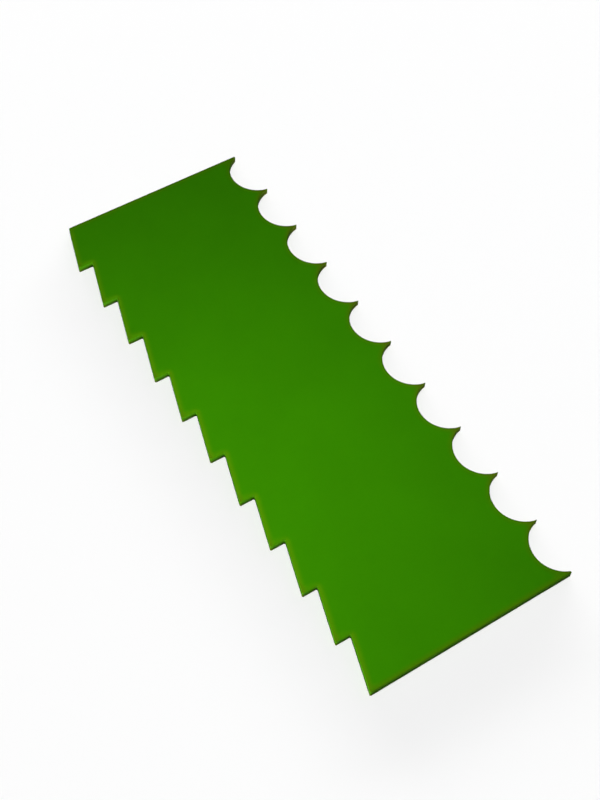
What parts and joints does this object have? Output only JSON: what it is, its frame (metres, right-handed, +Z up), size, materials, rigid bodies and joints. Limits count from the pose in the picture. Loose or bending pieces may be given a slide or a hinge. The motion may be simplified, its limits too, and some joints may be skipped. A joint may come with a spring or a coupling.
{
  "type": "acrylic comb scraper",
  "caption": "Flat acrylic scraper for combing icing, with saw teeth along one long edge, round scallops along the other and two straight ends.",
  "frame": {"origin": "centre of the underside, in the middle of the plate's outer box", "axes": "+X from the saw teeth to the scallops, +Y along the plate's length, from the end that the teeth's steps face to the other, +Z up through the sheet"},
  "size_m": [0.094, 0.25, 0.003],
  "materials": {
    "green_acrylic": "polished cast acrylic sheet, solid green, with cut edges a little paler"
  },
  "bodies": {
    "root": {"comb_plate": "green_acrylic"}
  },
  "joints": []
}
